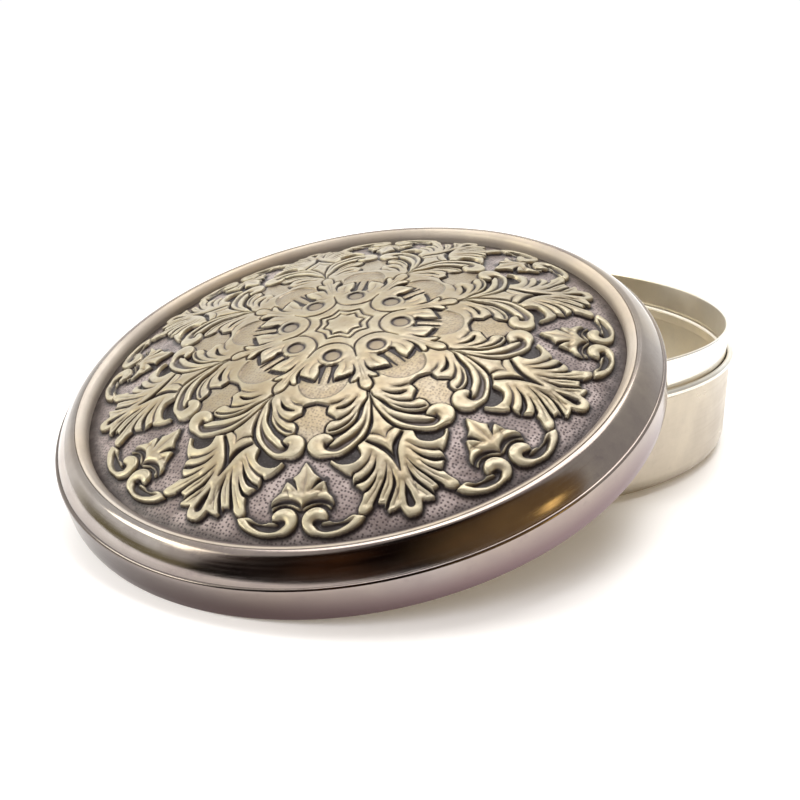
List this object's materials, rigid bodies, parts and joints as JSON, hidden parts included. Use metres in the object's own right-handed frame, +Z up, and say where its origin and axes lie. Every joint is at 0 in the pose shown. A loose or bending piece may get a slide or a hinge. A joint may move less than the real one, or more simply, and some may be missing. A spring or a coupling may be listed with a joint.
{
  "type": "pill box",
  "caption": "Round metal pill box with a slip lid domed and embossed with an acanthus rosette, shown open with the lid leaning on the rim of the base.",
  "frame": {"origin": "centre of the base's flat underside", "axes": "+Z up, -Y towards the low edge of the leaning lid, +X to the right when looking along +Y"},
  "size_m": [0.0648, 0.0912, 0.025],
  "materials": {
    "silver_cup": "satin silver plate, lightly tarnished",
    "silver_neck": "bright silver plate",
    "silver_bead": "bright silver plate",
    "silver_rim": "polished silver plate, brown-grey tarnish in the hollows",
    "silver_bezel": "polished silver plate, warm",
    "plaque_relief": "antiqued pale gold relief with dark oxidised ground"
  },
  "bodies": {
    "base": {"base_cup": "silver_cup", "neck_ring": "silver_neck", "stop_bead": "silver_bead"},
    "lid": {"lid_rim": "silver_rim", "bezel_ring": "silver_bezel", "embossed_plaque": "plaque_relief"}
  },
  "joints": [
    {"name": "lid_lift", "type": "slide", "parent": "base", "child": "lid", "axis": [0, 0, 1], "range_m": [0, 0.04]}
  ]
}
